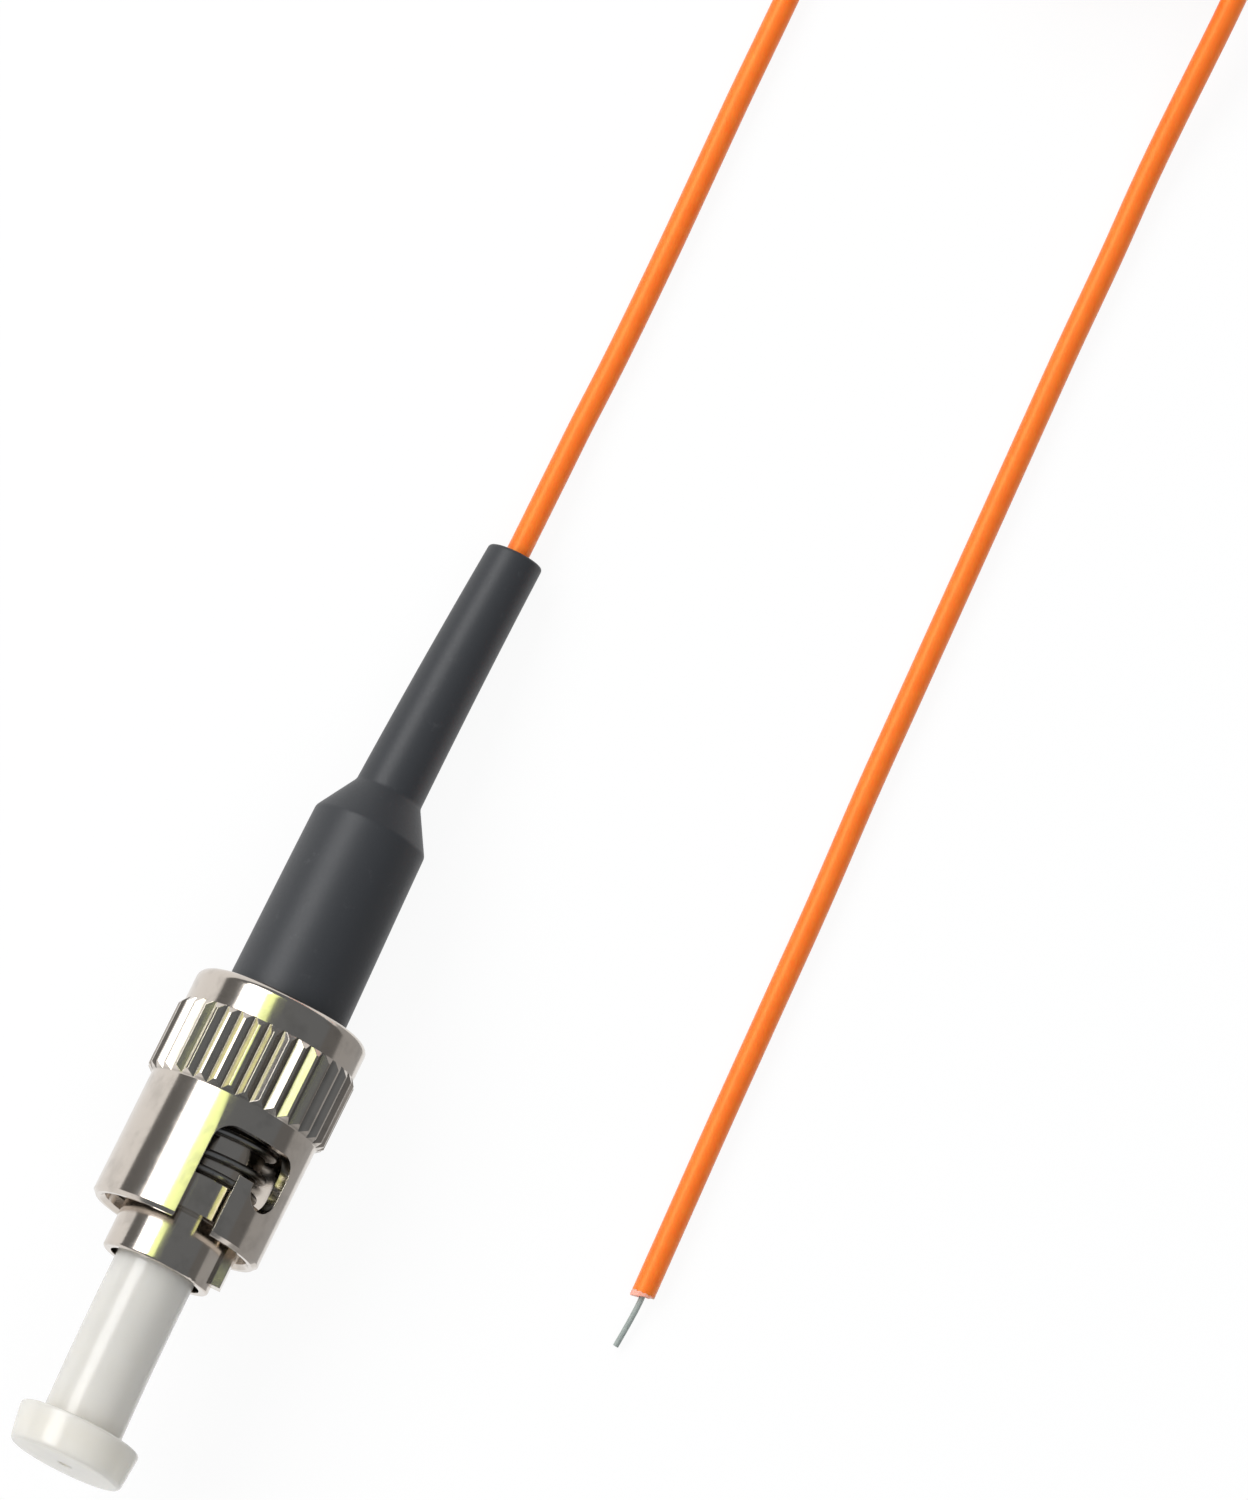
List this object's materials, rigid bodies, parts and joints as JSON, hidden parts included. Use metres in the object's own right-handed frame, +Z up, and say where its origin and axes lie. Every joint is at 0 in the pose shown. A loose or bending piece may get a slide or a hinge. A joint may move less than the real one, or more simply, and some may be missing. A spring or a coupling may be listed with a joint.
{
  "type": "bayonet fibre connector",
  "caption": "Bayonet fibre-optic plug with a ribbed metal coupling nut, a translucent dust cap, a black strain-relief boot and an orange pigtail.",
  "frame": {"origin": "on the plug's axis at the rim of the plug sleeve", "axes": "+Z up from the surface it lies on; +X along the plug towards the cap, with the plug's own axis raised 7.0 degrees from it; +Y to the side of the cord's far run"},
  "size_m": [0.1089, 0.0274, 0.0105],
  "materials": {
    "cap_plastic": "milky translucent plastic, satin",
    "zirconia": "ground and polished ceramic",
    "fibre_glass": "clear glass fibre",
    "body_nickel": "bright nickel plate",
    "nut_nickel": "bright nickel plate",
    "spring_steel": "plain spring steel",
    "tube_plastic": "white slippery plastic",
    "boot_rubber": "satin black moulded rubber",
    "jacket": "orange tight jacket, slightly glossy",
    "fibre_coating": "clear coating over the glass"
  },
  "bodies": {
    "plug": {"plug_body": "body_nickel", "ferrule": "zirconia", "glass_fibre": "fibre_glass", "guide_tube": "tube_plastic", "retaining_clip": "spring_steel", "spring": "spring_steel", "boot": "boot_rubber", "cord_core": "jacket", "cord_near": "jacket", "cord_coil": "jacket", "cord_far": "jacket", "bare_fibre": "fibre_coating"},
    "push_washer": {"thrust_washer": "spring_steel"},
    "nut": {"coupling_nut": "nut_nickel"},
    "cap": {"dust_cap": "cap_plastic"}
  },
  "joints": [
    {"name": "nut_push", "type": "slide", "parent": "plug", "child": "push_washer", "axis": [0.9925, 0, 0.1219], "range_m": [0, 0.0018], "stiffness_N_per_m": 3000, "deforming": ["spring"]},
    {"name": "nut_turn", "type": "hinge", "parent": "push_washer", "child": "nut", "pos_m": [0, 0, 0], "axis": [0.9925, 0, 0.1219], "continuous": true},
    {"name": "cap_pull", "type": "slide", "parent": "plug", "child": "cap", "axis": [0.9925, 0, 0.1219], "range_m": [0, 0.015]}
  ]
}
